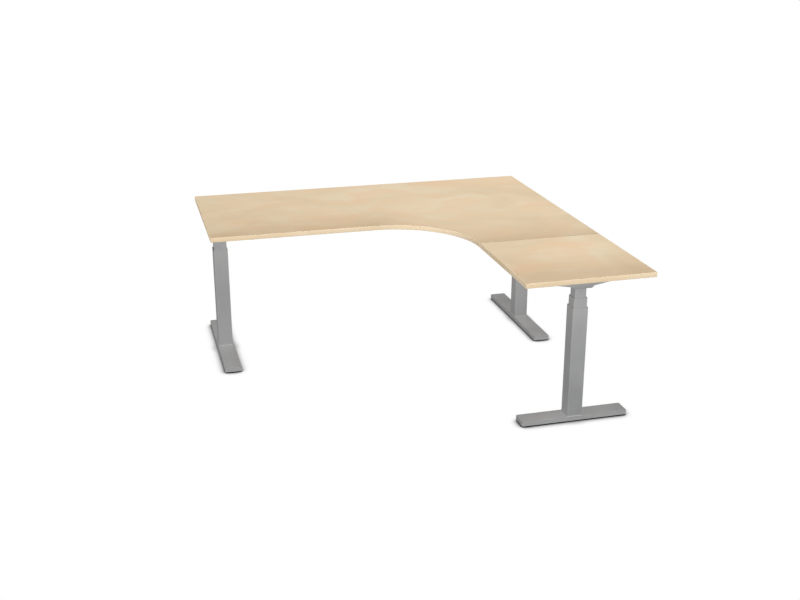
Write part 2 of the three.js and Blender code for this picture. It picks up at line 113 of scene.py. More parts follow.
ARM_PLATE = 3 * MM
ARM_BEND = 4 * MM
ARM_BEND_STEPS = 5
ARM_MIDDLE_HALF = 55 * MM
ARM_END_DEPTH = 18 * MM
ARM_SCREW_INSETS = (22 * MM, 80 * MM, 140 * MM)
ARM_SCREW_SIDE = 26 * MM
ARM_NOTCH_DROP = 6 * MM

# Screw heads: radius and height.
SCREWS = {
    "foot": (6.5 * MM, 5 * MM),
    "housing": (3.6 * MM, 2.6 * MM),
    "arm": (5 * MM, 3.2 * MM),
    "rail": (5.5 * MM, 3.6 * MM),
    "plate": (4.6 * MM, 2.6 * MM),
    "control_box": (4.4 * MM, 2.8 * MM),
}

# Rails, plates and electrics.
RAIL_WALL = 2 * MM
RAIL_CORNER = 3 * MM
RAIL_BOLT_INSETS = (18 * MM, 48 * MM)
BOX_WIDTH = 100 * MM
BOX_SEAM_HEIGHT = 27 * MM
SOCKET_COUNT = 4
SOCKET_PITCH = 22 * MM
BUTTONS = ("up", "down", "memory_1", "memory_2")
KEY_GAP = 0.35 * MM
WINDOW_GAP = 0.25 * MM

# View and light: the camera's place, turn and tilt in degrees, and the light from the white surroundings.
VIEW_PLACE = (-1.345, -5.009, 2.249)
VIEW_TURN = 15
VIEW_TILT = 20
VIEW_SENSOR = 36
VIEW_LENS = 50.38
WORLD_LIGHT = 0.12
FLOOR_LIGHT = 0.3
FLOOR_HALF = 30.0
# How far the floor's painted contact shadow reaches from what stands on it.
CONTACT_SHADOW_REACH = 60 * MM


# ---------------------------------------------------------------- outlines and profiles


def outline(corners, inset=0.0):
    """Points of an anticlockwise outline with round corners, drawn in by inset.

    Each corner is (x, y, radius, steps); a concave corner's arc grows as the outline shrinks.
    """
    points = []
    count = len(corners)
    for i, (x, y, radius, steps) in enumerate(corners):
        here = Vector((x, y))
        arrive = (here - Vector(corners[i - 1][:2])).normalized()
        leave = (Vector(corners[(i + 1) % count][:2]) - here).normalized()
        side_in = Vector((-arrive.y, arrive.x))
        side_out = Vector((-leave.y, leave.x))
        here = here + (side_in + side_out) * inset / (1 + side_in.dot(side_out))
        turn = atan2(arrive.x * leave.y - arrive.y * leave.x, arrive.dot(leave))
        convex = turn > 0
        reach = max(radius - inset, 0.02 * MM) if convex else radius + inset
        start = here - arrive * reach * tan(abs(turn) / 2)
        centre = start + side_in * (reach if convex else -reach)
        for step in range(steps + 1):
            points.append(centre + Matrix.Rotation(turn * step / steps, 2) @ (start - centre))
    return points


def rectangle(length, width, radius, steps, centre=(0, 0)):
    """The corners of a rectangle about centre, for outline()."""
    half_x, half_y = length / 2, width / 2
    return [
        (centre[0] + side_x * half_x, centre[1] + side_y * half_y, radius, steps)
        for side_x, side_y in ((-1, -1), (1, -1), (1, 1), (-1, 1))
    ]


def quarter_turn(steps):
    """Angles from 0 to a right angle."""
    return [pi / 2 * step / steps for step in range(steps + 1)]


def block_profile(bottom, top, rounding, steps=4):
    """(inset, height) pairs up the side of a block whose top and bottom edges are rounded."""
    angles = quarter_turn(steps)
    lower = [(rounding * (1 - sin(angle)), bottom + rounding * (1 - cos(angle))) for angle in angles]
    upper = [(rounding * (1 - cos(angle)), top - rounding * (1 - sin(angle))) for angle in angles]
    return lower + upper


def tube_profile(bottom, top, wall):
    """A closed profile round a tube's wall, with slightly rounded rims."""
    rim = min(RIM_ROUNDING, wall / 2.2)
    nip = 0.3 * rim
    return [
        (0, bottom + rim), (0, top - rim), (nip, top - nip), (rim, top),
        (wall - rim, top), (wall - nip, top - nip), (wall, top - rim), (wall, bottom + rim),
        (wall - nip, bottom + nip), (wall - rim, bottom), (rim, bottom), (nip, bottom + nip),
    ]


def four_places(x, y):
    """The four places at x and y to either side of the middle."""
    return [(side_x * x, side_y * y) for side_x in (-1, 1) for side_y in (-1, 1)]


# ---------------------------------------------------------------- solids as (points, faces)


def loft(rings, closed=False):
    """Quads between rings of equal length. An open loft is capped at both ends."""
    size = len(rings[0])
    points = [point for ring in rings for point in ring]
    pairs = len(rings) if closed else len(rings) - 1
    faces = []
    for i in range(pairs):
        low, high = i * size, (i + 1) % len(rings) * size
        for j in range(size):
            k = (j + 1) % size
            faces.append((low + j, low + k, high + k, high + j))
    if not closed:
        faces.append(tuple(reversed(range(size))))
        faces.append(tuple(range(len(points) - size, len(points))))
    return points, faces


def upright(corners, profile, closed=False):
    """A loft of one outline up a profile of (inset, height) pairs."""
    rings = [
        [Vector((point.x, point.y, height)) for point in outline(corners, inset)]
        for inset, height in profile
    ]
    return loft(rings, closed)


def block(low, high, rounding, steps=3):
    """A box from low to high with rounded edges."""
    low, high = Vector(low), Vector(high)
    size, middle = high - low, (high + low) / 2
    sides = rectangle(size.x, size.y, rounding, steps, (middle.x, middle.y))
    return upright(sides, block_profile(low.z, high.z, rounding, steps))


def turned(profile, sides=40, knurl=0.0):
    """A solid of revolution about Z through (radius, height) points, every other line sunk by knurl."""
    rings = []
    for radius, height in profile:
        ring = []
        for j in range(sides):
            angle = 2 * pi * j / sides
            reach = radius - knurl * (j % 2)
            ring.append(Vector((reach * cos(angle), reach * sin(angle), height)))
        rings.append(ring)
    return loft(rings)


def moved(solid, matrix):
    """The same solid in another place."""
    points, faces = solid
    return [matrix @ point for point in points], faces


def merged(*solids):
    """Several solids as one mesh."""
    points, faces = [], []
    for more_points, more_faces in solids:
        start = len(points)
        points += more_points
        faces += [tuple(start + i for i in face) for face in more_faces]
    return points, faces


def at(x, y, z, turn=0.0, tilt=0.0):
    """A place: tilted about its own X first, then turned about Z."""
    return Matrix.Translation((x, y, z)) @ Matrix.Rotation(turn, 4, "Z") @ Matrix.Rotation(tilt, 4, "X")


def screw(radius, height, sides=24):
    """A round screw head on the plane z = 0 that points to -Z, with a hexagon socket."""
    angles = [2 * pi * j / sides for j in range(sides)]
    rings = []
    head = ((radius, 0), (radius, -0.45 * height), (0.9 * radius, -0.8 * height), (0.7 * radius, -height))
    for reach, z in head:
        rings.append([Vector((reach * cos(angle), reach * sin(angle), z)) for angle in angles])
    socket = radius * 0.5
    for z in (-height, -0.45 * height):
        ring = []
        for angle in angles:
            reach = socket * cos(pi / 6) / cos((angle % (pi / 3)) - pi / 6)
            ring.append(Vector((reach * cos(angle), reach * sin(angle), z)))
        rings.append(ring)
    points, faces = loft(rings)
    return points, [tuple(reversed(face)) for face in faces]


# ---------------------------------------------------------------- objects


def shade(mesh):
    """Smooth shading that keeps the mesh's sharp edges."""
    mesh.shade_smooth()
    mesh.set_sharp_from_angle(angle=SHARP_TURN)


def make_object(name, solid, material):
    """A mesh object in the scene from a solid, with one material."""
    points, faces = solid
    mesh = bpy.data.meshes.new(name)
    mesh.from_pydata([tuple(point) for point in points], [], faces)
    mesh.validate()
    mesh.update()
    piece = bpy.data.objects.new(name, mesh)
    bpy.context.scene.collection.objects.link(piece)
    piece.data.materials.append(material)
    shade(mesh)
    return piece


def cut(piece, cutter_solid):
    """Takes a solid out of a piece for good, with a boolean modifier that is applied at once."""
    cutter = make_object("cutter", cutter_solid, piece.data.materials[0])
    modifier = piece.modifiers.new("cut", "BOOLEAN")
    modifier.operation = "DIFFERENCE"
    modifier.solver = "EXACT"
    modifier.object = cutter
    bpy.context.view_layer.update()
    evaluated = piece.evaluated_get(bpy.context.evaluated_depsgraph_get())
    mesh = bpy.data.meshes.new_from_object(evaluated)
    piece.modifiers.clear()
    piece.data = mesh
    shade(mesh)
    bpy.data.objects.remove(cutter)


def add_piece(name, solid, material, slot, body, *nodes):
    """A finished piece: its material, the body it rides on, and the CAD nodes it stands for, which it
    hides. Its slot argument is not used.
    """
    piece = make_object(name, solid, material)
    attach(piece, body)
    if nodes:
        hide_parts(*nodes)


# ---------------------------------------------------------------- materials


def colour_ramp(tree, value, stops):
    """A colour that follows a value from 0 to 1 through (position, colour) stops."""
    ramp = tree.nodes.new("ShaderNodeValToRGB")
    elements = ramp.color_ramp.elements
    while len(elements) < len(stops):
        elements.new(0.5)
    for element, (position, colour) in zip(elements, stops):
        element.position = position
        element.color = (*colour, 1.0)
    tree.links.new(value, ramp.inputs["Fac"])
    return ramp.outputs["Color"]


def grey(level):
    """A colour with the same red, green and blue."""
    return (level, level, level)


def shaded(colour, share):
    """A colour made darker or lighter by a share, and never past white."""
    return tuple(min(1.0, channel * share) for channel in colour)


class Look:
    """A material's node tree with short calls for the nodes that every material here uses."""

    def __init__(self, name, roughness=0.5, metallic=0.0):
        self.material = bpy.data.materials.new(name)
        self.material.use_nodes = True
        self.tree = self.material.node_tree
        self.shader = self.tree.nodes["Principled BSDF"]
        self.shader.inputs["Roughness"].default_value = roughness
        self.shader.inputs["Metallic"].default_value = metallic
        self.place = self.tree.nodes.new("ShaderNodeTexCoord").outputs["Object"]

    def link(self, source, target):
        self.tree.links.new(source, target)

    def noise(self, scale, detail=3.0, roughness=0.5, distortion=0.0, stretch=(1, 1, 1)):
        """Noise from 0 to 1, finer along an axis with more stretch."""
        mapping = self.tree.nodes.new("ShaderNodeMapping")
        mapping.inputs["Scale"].default_value = stretch
        self.link(self.place, mapping.inputs["Vector"])
        noise = self.tree.nodes.new("ShaderNodeTexNoise")
        noise.inputs["Scale"].default_value = scale
        noise.inputs["Detail"].default_value = detail
        noise.inputs["Roughness"].default_value = roughness
        noise.inputs["Distortion"].default_value = distortion
        self.link(mapping.outputs["Vector"], noise.inputs["Vector"])
        return noise.outputs["Fac"]

    def ramp(self, value, stops):
        return colour_ramp(self.tree, value, stops)

    def grey_ramp(self, value, low, high, first=0.0, last=1.0):
        """A grey from first, where the value is low, to last, where it is high."""
        return self.ramp(value, [(low, grey(first)), (high, grey(last))])

    def mix(self, factor, first, second, blend="MIX"):
        """Two colours mixed by a factor; each of the three is a number, a colour or an output."""
        mix = self.tree.nodes.new("ShaderNodeMix")
        mix.data_type = "RGBA"
        mix.blend_type = blend
        for socket, value in ((mix.inputs[0], factor), (mix.inputs[6], first), (mix.inputs[7], second)):
            if isinstance(value, (int, float)):
                socket.default_value = value
            elif isinstance(value, tuple):
                socket.default_value = (*value, 1.0)
            else:
                self.link(value, socket)
        return mix.outputs[2]

    def axis(self, name):
        """The place along one axis, in metres."""
        axes = self.tree.nodes.new("ShaderNodeSeparateXYZ")
        self.link(self.place, axes.inputs["Vector"])
        return axes.outputs[name]

    def across(self, left, right, first=0.0, last=1.0):
        """A number that goes from first at X = left to last at X = right."""
        share = self.tree.nodes.new("ShaderNodeMapRange")
        settings = {"From Min": left, "From Max": right, "To Min": first, "To Max": last}
        for name, value in settings.items():
            share.inputs[name].default_value = value
        self.link(self.axis("X"), share.inputs["Value"])
        return share.outputs["Result"]

    def distance_behind(self, front_left, front_right):
        """Metres behind a front edge that steps from front_left to front_right across the inner corner."""
        behind = self.tree.nodes.new("ShaderNodeMath")
        behind.operation = "SUBTRACT"
        self.link(self.axis("Y"), behind.inputs[0])
        self.link(self.across(*INNER_CORNER_SPAN, front_left, front_right), behind.inputs[1])
        return behind.outputs["Value"]

    def bump(self, height, strength, distance):
        bump = self.tree.nodes.new("ShaderNodeBump")
        bump.inputs["Strength"].default_value = strength
        bump.inputs["Distance"].default_value = distance
        self.link(height, bump.inputs["Height"])
        return bump.outputs["Normal"]

    def finish(self, colour, roughness, normal=None):
        """Links what was made to the shader and returns the material."""
        self.link(colour, self.shader.inputs["Base Color"])
        self.link(roughness, self.shader.inputs["Roughness"])
        if normal is not None:
            self.link(normal, self.shader.inputs["Normal"])
        return self.material


def maple_laminate(name, front_left, front_right):
    """Pale maple laminate: soft clouds, faint grain along X, painted shade that darkens it near the front
    edge, and a painted light falloff that darkens it towards the left.

    The painted front shade starts at Y = front_left on the left and at Y = front_right on the right.
    """
    look = Look(name)
    look.shader.inputs["Specular IOR Level"].default_value = 0.15
    clouds = look.noise(2.4, 4.0, 0.55, 0.6, (1.0, 1.2, 1.0))
    base = look.ramp(clouds, [
        (0.32, (0.662, 0.533, 0.365)),
        (0.45, (0.693, 0.564, 0.389)),
        (0.56, (0.715, 0.593, 0.422)),
        (0.70, (0.739, 0.624, 0.456)),
    ])
    warm = look.noise(2.7, 5.0, 0.55, 0.9, (1.0, 1.2, 1.0))
    warmed = look.mix(look.grey_ramp(warm, 0.45, 0.64, 0.0, 0.8), base, (0.735, 0.535, 0.350))
    cool = look.noise(3.1, 3.0, 0.5, 0.5, (1.2, 1.4, 1.0))
    cooled = look.mix(look.grey_ramp(cool, 0.55, 0.72, 0.0, 0.15), warmed, (0.653, 0.576, 0.384))
    grain = look.noise(9.0, 5.0, 0.6, 0.2, (0.35, 14.0, 14.0))
    grained = look.mix(look.grey_ramp(grain, 0.42, 0.68, 0.0, 0.10), cooled, (0.480, 0.330, 0.200))
    flecks = look.noise(55.0, 2.0, 0.5, 0.0, (0.16, 3.2, 3.2))
    flecked = look.mix(look.grey_ramp(flecks, 0.66, 0.74, 0.0, 0.12), grained, (0.420, 0.270, 0.160))
    # Painted shade: the colour is multiplied darker near the front edge, most at the front line and not at
    # all 0.4 m behind it.
    behind = look.distance_behind(front_left, front_right)
    front_shade = look.ramp(behind, [(0.0, grey(0.95)), (0.10, grey(0.55)), (0.25, grey(0.15)), (0.4, grey(0.0))])
    front_shaded = look.mix(front_shade, flecked, (0.800, 0.760, 0.720), "MULTIPLY")
    # Painted light falloff: the colour is multiplied darker towards the left, as if less light fell there.
    light_falloff = look.mix(look.across(*LIGHT_FALLOFF_SPAN), (0.92, 0.91, 0.90), (1.0, 1.0, 1.0))
    colour = look.mix(1.0, front_shaded, light_falloff, "MULTIPLY")
    sheen = look.grey_ramp(look.noise(14.0, 3.0, 0.5, 0.0, (0.3, 3.0, 3.0)), 0.3, 0.7, 0.48, 0.58)
    return look.finish(colour, sheen, look.bump(flecks, 0.05, 0.1 * MM))


def edge_strip():
    """The edging strip: lighter than the laminate, with fine lines along the edge."""
    look = Look("edge_strip")
    look.shader.inputs["Specular IOR Level"].default_value = 0.15
    lines = look.noise(24.0, 4.0, 0.6, 0.1, (0.12, 0.12, 12.0))
    clouds = look.noise(3.0, 2.0, 0.5, 0.3)
    base = look.ramp(clouds, [(0.35, (0.625, 0.490, 0.325)), (0.65, (0.660, 0.545, 0.390))])
    lined = look.mix(look.grey_ramp(lines, 0.45, 0.7, 0.0, 0.16), base, (0.500, 0.370, 0.230))
    sheen = look.grey_ramp(lines, 0.3, 0.7, 0.52, 0.64)
    return look.finish(lined, sheen, look.bump(lines, 0.08, 0.1 * MM))


def powder_coat(name, colour, roughness=0.42):
    """Powder-coated steel: a fine orange peel, faint patches, and a painted highlight that makes convex
    edges slightly brighter.
    """
    look = Look(name, roughness, 0.15)
    peel = look.noise(900.0, 3.0, 0.55)
    patches = look.noise(5.0, 3.0, 0.5)
    base = look.ramp(patches, [(0.35, shaded(colour, 0.93)), (0.65, shaded(colour, 1.06))])
    speckled = look.mix(look.grey_ramp(peel, 0.35, 0.65, 0.0, 0.10), base, shaded(colour, 0.8))
    edges = look.tree.nodes.new("ShaderNodeNewGeometry").outputs["Pointiness"]
    # Painted highlight: the colour is lifted where Pointiness finds a convex edge.
    edge_highlight = look.mix(look.grey_ramp(edges, 0.54, 0.60, 0.0, 0.2), speckled, shaded(colour, 1.25))
    sheen = look.grey_ramp(patches, 0.3, 0.7, roughness - 0.05, roughness + 0.06)
    return look.finish(edge_highlight, sheen, look.bump(peel, 0.12, 0.15 * MM))


def cast_metal():
    """Sand-blasted die casting under thin grey paint."""
    look = Look("cast_metal", 0.5, 0.15)
    grains = look.noise(420.0, 5.0, 0.65)
    patches = look.noise(9.0, 4.0, 0.5)
    base = look.ramp(patches, [(0.3, (0.262, 0.262, 0.268)), (0.7, (0.300, 0.300, 0.306))])
    speckled = look.mix(look.grey_ramp(grains, 0.4, 0.7, 0.0, 0.22), base, (0.220, 0.220, 0.226))
    sheen = look.grey_ramp(grains, 0.3, 0.7, 0.42, 0.58)
    return look.finish(speckled, sheen, look.bump(grains, 0.25, 0.3 * MM))


def moulded_plastic(name, colour, roughness=0.55):
    """Moulded plastic with a fine spark-eroded texture."""
    look = Look(name, roughness)
    texture = look.noise(1400.0, 4.0, 0.6)
    patches = look.noise(12.0, 3.0, 0.5)
    base = look.ramp(patches, [(0.35, shaded(colour, 0.82)), (0.65, shaded(colour, 1.18))])
    sheen = look.grey_ramp(texture, 0.3, 0.7, roughness - 0.08, roughness + 0.08)
    return look.finish(base, sheen, look.bump(texture, 0.2, 0.12 * MM))


def zinc_steel():
    """Zinc-plated steel: cool grey with faint drawn lines and a slight iridescent mottle."""
    look = Look("zinc_steel", 0.32, 1.0)
    spangle = look.noise(120.0, 3.0, 0.6, 0.4)
    lines = look.noise(60.0, 3.0, 0.5, 0.0, (1.0, 1.0, 14.0))
    base = look.ramp(spangle, [(0.35, (0.46, 0.47, 0.50)), (0.65, (0.62, 0.62, 0.61))])
    lined = look.mix(look.grey_ramp(lines, 0.45, 0.7, 0.0, 0.25), base, (0.38, 0.38, 0.40))
    sheen = look.grey_ramp(spangle, 0.3, 0.7, 0.26, 0.42)
    return look.finish(lined, sheen, look.bump(lines, 0.06, 0.1 * MM))


def motor_paint():
    """Semi-gloss black enamel on the motor cans."""
    look = Look("motor_paint", 0.3, 0.1)
    peel = look.noise(260.0, 3.0, 0.5)
    patches = look.noise(14.0, 3.0, 0.5)
    base = look.ramp(patches, [(0.35, (0.012, 0.012, 0.013)), (0.65, (0.022, 0.022, 0.024))])
    sheen = look.grey_ramp(peel, 0.3, 0.7, 0.24, 0.36)
    return look.finish(base, sheen, look.bump(peel, 0.1, 0.2 * MM))


def dark_window():
    """The handset's smoked display window, with faint wiping marks."""
    look = Look("dark_window", 0.08)
    look.shader.inputs["Coat Weight"].default_value = 0.5
    smears = look.noise(90.0, 4.0, 0.6, 0.6, (1.0, 1.0, 3.0))
    base = look.ramp(smears, [(0.3, (0.006, 0.006, 0.008)), (0.7, (0.012, 0.012, 0.015))])
    sheen = look.grey_ramp(smears, 0.35, 0.7, 0.05, 0.16)
    return look.finish(base, sheen)


# ---------------------------------------------------------------- camera, light and floor


def add_camera():
    """The main view: from the left of the front, turned to the right and tilted down."""
    camera = bpy.data.objects.new("camera", bpy.data.cameras.new("camera"))
    camera.data.sensor_width = VIEW_SENSOR
    camera.data.lens = VIEW_LENS
    camera.location = VIEW_PLACE
    camera.rotation_euler = (radians(90 - VIEW_TILT), 0, radians(-VIEW_TURN))
    bpy.context.scene.collection.objects.link(camera)
    bpy.context.scene.camera = camera


def add_lights():
    """Even studio light that throws no shadow: a broad key from above the front, and fills from all round.

    The fills shine a little upwards, so that they leave the desktop to the key light, and make no glints.
    Each light has its direction, its strength and its spread in degrees.
    """
    lights = {
        "key_light": ((-0.05, 0.60, -0.80), 4.2, 40),
        "front_fill": ((0.0, 1.0, 0.12), 0.75, 12),
        "left_fill": ((1.0, 0.0, 0.12), 1.85, 12),
        "right_fill": ((-1.0, 0.0, 0.12), 1.5, 12),
        "back_fill": ((0.0, -1.0, 0.12), 1.9, 12),
        "low_fill": ((0.0, 0.1, 1.0), 0.7, 40),
    }
    for name, (direction, strength, spread) in lights.items():
        light = bpy.data.lights.new(name, "SUN")
        light.energy = strength
        light.angle = radians(spread)
        light.use_shadow = False
        lamp = bpy.data.objects.new(name, light)
        lamp.location = Vector(direction) * -5
        lamp.visible_glossy = name == "key_light"
        lamp.rotation_euler = Vector(direction).to_track_quat("-Z", "Y").to_euler()
        bpy.context.scene.collection.objects.link(lamp)


def white_backdrop(tree, to_light):
    """A brightness that is full white for the picture's backdrop and to_light for lighting."""
    path = tree.nodes.new("ShaderNodeLightPath")
    level = tree.nodes.new("ShaderNodeMapRange")
    level.inputs["To Min"].default_value = to_light
    level.inputs["To Max"].default_value = 1.0
    tree.links.new(path.outputs["Is Camera Ray"], level.inputs["Value"])
    return level.outputs["Result"]


def add_world():
    """A white studio round the desk."""
    world = bpy.data.worlds.new("studio")
    world.use_nodes = True
    tree = world.node_tree
    background = tree.nodes["Background"]
    background.inputs["Color"].default_value = (1, 1, 1, 1)
    tree.links.new(white_backdrop(tree, WORLD_LIGHT), background.inputs["Strength"])
    bpy.context.scene.world = world


def floor_material():
    """White with a painted contact shadow that darkens it only close to what stands on it, and clear from
    below.
    """
    material = bpy.data.materials.new("floor")
    material.use_nodes = True
    tree = material.node_tree
    tree.nodes.remove(tree.nodes["Principled BSDF"])
    # Painted contact shadow: occlusion near the feet and glides turns the glowing white grey, then black.
    contact_shadow = tree.nodes.new("ShaderNodeAmbientOcclusion")
    contact_shadow.samples = 16
    contact_shadow.inputs["Distance"].default_value = CONTACT_SHADOW_REACH
    stops = [(0.38, grey(0.0)), (0.56, grey(0.10)), (0.72, grey(0.55)), (0.92, grey(1.0))]
    colour = colour_ramp(tree, contact_shadow.outputs["AO"], stops)
    glow = tree.nodes.new("ShaderNodeEmission")
    tree.links.new(colour, glow.inputs["Color"])
    tree.links.new(white_backdrop(tree, FLOOR_LIGHT), glow.inputs["Strength"])
    side = tree.nodes.new("ShaderNodeNewGeometry")
    clear = tree.nodes.new("ShaderNodeBsdfTransparent")
    surface = tree.nodes.new("ShaderNodeMixShader")
    tree.links.new(side.outputs["Backfacing"], surface.inputs[0])
    tree.links.new(glow.outputs["Emission"], surface.inputs[1])
    tree.links.new(clear.outputs["BSDF"], surface.inputs[2])
    tree.links.new(surface.outputs["Shader"], tree.nodes["Material Output"].inputs["Surface"])
    return material


def add_floor():
    """The wide pale floor that the desk stands on."""
    corners = [(-1, -1), (1, -1), (1, 1), (-1, 1)]
    mesh = bpy.data.meshes.new("floor")
    mesh.from_pydata([(x * FLOOR_HALF, y * FLOOR_HALF, 0) for x, y in corners], [], [(0, 1, 2, 3)])
    floor = bpy.data.objects.new("floor", mesh)
    bpy.context.scene.collection.objects.link(floor)
    floor.data.materials.append(floor_material())


# ---------------------------------------------------------------- desktop


def add_panel(name, corners, bottom, top, laminate, strip):
    """A laminated board and the rounded edging strip round it."""
    board = [
        (BOARD_INSET + BOARD_LOWER_BEVEL, bottom), (BOARD_INSET, bottom + BOARD_LOWER_BEVEL),
        (BOARD_INSET, top - BOARD_UPPER_BEVEL), (BOARD_INSET + BOARD_UPPER_BEVEL, top),
    ]
    add_piece(f"board_{name}", upright(corners, board), laminate, "laminate", "top", f"desktop_{name}")
    edging = block_profile(bottom, top, BAND_ROUNDING) + [(BAND, top), (BAND, bottom)]
    add_piece(f"edging_{name}", upright(corners, edging, closed=True), strip, "edge_band", "top",
              f"edge_band_{name}")


def add_panels(laminates, strip, seam_shade):
    """Both panels, and a dark strip of painted shade in the seam between them."""
    main_low, main_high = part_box("edge_band_main")
    return_low, return_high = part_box("edge_band_return")
    front = main_high.y - MAIN_DEPTH
    main = [
        (main_low.x, main_high.y, PANEL_CORNER, PANEL_CORNER_STEPS),
        (main_low.x, front, PANEL_CORNER, PANEL_CORNER_STEPS),
        (return_low.x, front, INNER_CORNER_RADIUS, INNER_CORNER_STEPS),
        (return_low.x, main_low.y, PANEL_CORNER, PANEL_CORNER_STEPS),
        (main_high.x, main_low.y, PANEL_CORNER, PANEL_CORNER_STEPS),
        (main_high.x, main_high.y, PANEL_CORNER, PANEL_CORNER_STEPS),
    ]
    return_panel = [
        (return_low.x, return_low.y, PANEL_CORNER, PANEL_CORNER_STEPS),
        (return_high.x, return_low.y, PANEL_CORNER, PANEL_CORNER_STEPS),
        (return_high.x, return_high.y, PANEL_CORNER, PANEL_CORNER_STEPS),
        (return_low.x, return_high.y, PANEL_CORNER, PANEL_CORNER_STEPS),
    ]
    bottom, top = main_low.z, main_high.z
    for name, corners in (("main", main), ("return", return_panel)):
        add_panel(name, corners, bottom, top, laminates[name], strip)
    # Painted shade: a dark strip fills the seam in place of the shade between the two panels' edges.
    shade_strip = block(
        (return_low.x + BAND, return_high.y + SEAM_SHADE_GAP, bottom + SEAM_SHADE_RISE),
        (return_high.x - BAND, main_low.y - SEAM_SHADE_GAP, top - SEAM_SHADE_ROUNDING),
        SEAM_SHADE_ROUNDING,
    )
    add_piece("seam_shade_strip", shade_strip, seam_shade, "black_plastic", "top")


# ---------------------------------------------------------------- legs


def leg_place(name):
    """The matrix of a leg's own frame, from the middle of its outer tube."""
    low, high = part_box(f"outer_tube_{name}")
    return at((low.x + high.x) / 2, (low.y + high.y) / 2, 0, LEGS[name][0])


def foot_profile(bottom, top, groove):
    """From the channel's ceiling down inside, round its lip and up outside past the groove to the top."""
    ceiling = top - FOOT_WALL
    under = groove - FOOT_GROOVE
    inside = [
        (FOOT_WALL + 1 * MM, ceiling), (FOOT_WALL, ceiling - 1 * MM),
        (FOOT_WALL, bottom + FOOT_BEVEL), (FOOT_WALL - FOOT_BEVEL, bottom),
    ]
    outside = [
        (FOOT_BEVEL, bottom), (0, bottom + FOOT_BEVEL),
        (0, under - 0.2 * MM), (0.2 * MM, under), (FOOT_GROOVE_DEPTH, under), (FOOT_GROOVE_DEPTH, groove),
    ]
    return inside + outside + block_profile(groove, top, FOOT_ROUNDING)[1:]


def glide_boss(ceiling):
    """The threaded boss under a foot's cover that a glide screws into."""
    under, over = ceiling - 12 * MM, ceiling + 0.2 * MM
    return turned([
        (4.6 * MM, under), (7.6 * MM, under), (8 * MM, ceiling - 11.5 * MM),
        (8 * MM, ceiling - 1 * MM), (9.2 * MM, over), (4.6 * MM, over),
    ])


def washer():
    """A washer under the plane z = 0."""
    return turned([
        (3 * MM, -WASHER), (8.6 * MM, -WASHER), (9 * MM, -1.2 * MM), (9 * MM, 0), (3 * MM, 0),
    ], 32)


def add_foot(name, paint, plastic, steel):
    """A foot: a channel open below with glide bosses, a dark strip of painted shade in its groove, and the
    column's bolts.
    """
    low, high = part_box(f"foot_{name}")
    size = high - low
    length, width = max(size.x, size.y), min(size.x, size.y)
    sides = rectangle(length, width, FOOT_CORNER, 8)
    groove = high.z - FOOT_COVER
    ceiling = high.z - FOOT_WALL
    glide_x = length / 2 - GLIDE_INSET
    shell = upright(sides, foot_profile(low.z, high.z, groove))
    bosses = [moved(glide_boss(ceiling), at(x, 0, 0)) for x in (-glide_x, glide_x)]
    place = leg_place(name)
    channel = moved(merged(shell, *bosses), place)
    add_piece(f"foot_channel_{name}", channel, paint, "silver_paint", "base", f"foot_{name}")
    # Painted shade: a dark strip, in the plastic passed in, sits in the groove under the cover in place of
    # the groove's own shade.
    inner, outer = FOOT_GROOVE_DEPTH + 0.05 * MM, 0.3 * MM
    groove_shade_profile = [(inner, groove), (outer, groove), (outer, groove - FOOT_GROOVE), (inner, groove - FOOT_GROOVE)]
    ring = upright(sides, groove_shade_profile, closed=True)
    add_piece(f"foot_groove_shade_{name}", moved(ring, place), plastic, "black_plastic", "base")
    bolt = screw(*SCREWS["foot"])
    bolts = []
    for x, y in four_places(FOOT_BOLT_PLACE, FOOT_BOLT_PLACE):
        bolts.append(moved(washer(), at(x, y, ceiling)))
        bolts.append(moved(bolt, at(x, y, ceiling - WASHER)))
    add_piece(f"foot_bolts_{name}", moved(merged(*bolts), place), steel, "zinc_steel", "base")


def glide_pad(radius):
    """A glide's knurled pad, from its sole up to its neck."""
    rim = radius - 0.4 * MM
    profile = [
        (radius - 2 * MM, 0), (radius - 1 * MM, 0.4 * MM), (rim, 1.4 * MM), (rim, 3.6 * MM),
        (radius - 1.2 * MM, 4.6 * MM), (9 * MM, 6.4 * MM), (6 * MM, 7.4 * MM),
    ]
    return turned(profile, 72, GLIDE_KNURL)


def glide_stud(top):
    """A glide's stud, with a few turns of thread near the pad."""
    profile = [(THREAD_ROOT, STUD_FOOT)]
    for i in range(THREAD_TURNS):
        profile.append((THREAD_ROOT, THREAD_START + i * THREAD_PITCH))
        profile.append((THREAD_CREST, THREAD_START + (i + 0.5) * THREAD_PITCH))
    profile.append((STUD_TIP, top))
    return turned(profile, 24)


def add_glides(name, plastic, steel):
    """The two levelling glides of a foot: a pad and a threaded stud each."""
    for end in LEGS[name][1]:
        glide = f"glide_{name}_{end}"
        low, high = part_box(glide)
        place = at((low.x + high.x) / 2, (low.y + high.y) / 2, 0)
        pad = moved(glide_pad((high.x - low.x) / 2), place)
        add_piece(f"glide_pad_{name}_{end}", pad, plastic, "black_plastic", glide, glide)
        stud = moved(glide_stud(high.z), place)
        add_piece(f"glide_stud_{name}_{end}", stud, steel, "zinc_steel", glide)


def tube_sides(low, high):
    """The outline of a column's square tube in the leg's own frame."""
    side = high.x - low.x
    return rectangle(side, side, TUBE_CORNER, 8)


def add_tubes(name, paint):
    """The three tubes of a column, with rolled corners and deburred rims."""
    bodies = {"outer": "base", "middle": "middle_stage", "inner": "top"}
    for stage, body in bodies.items():
        low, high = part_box(f"{stage}_tube_{name}")
        profile = tube_profile(low.z, high.z, TUBE_WALLS[stage])
        tube = upright(tube_sides(low, high), profile, closed=True)
        add_piece(f"column_{stage}_{name}", moved(tube, leg_place(name)), paint, "silver_paint", body,
                  f"{stage}_tube_{name}")


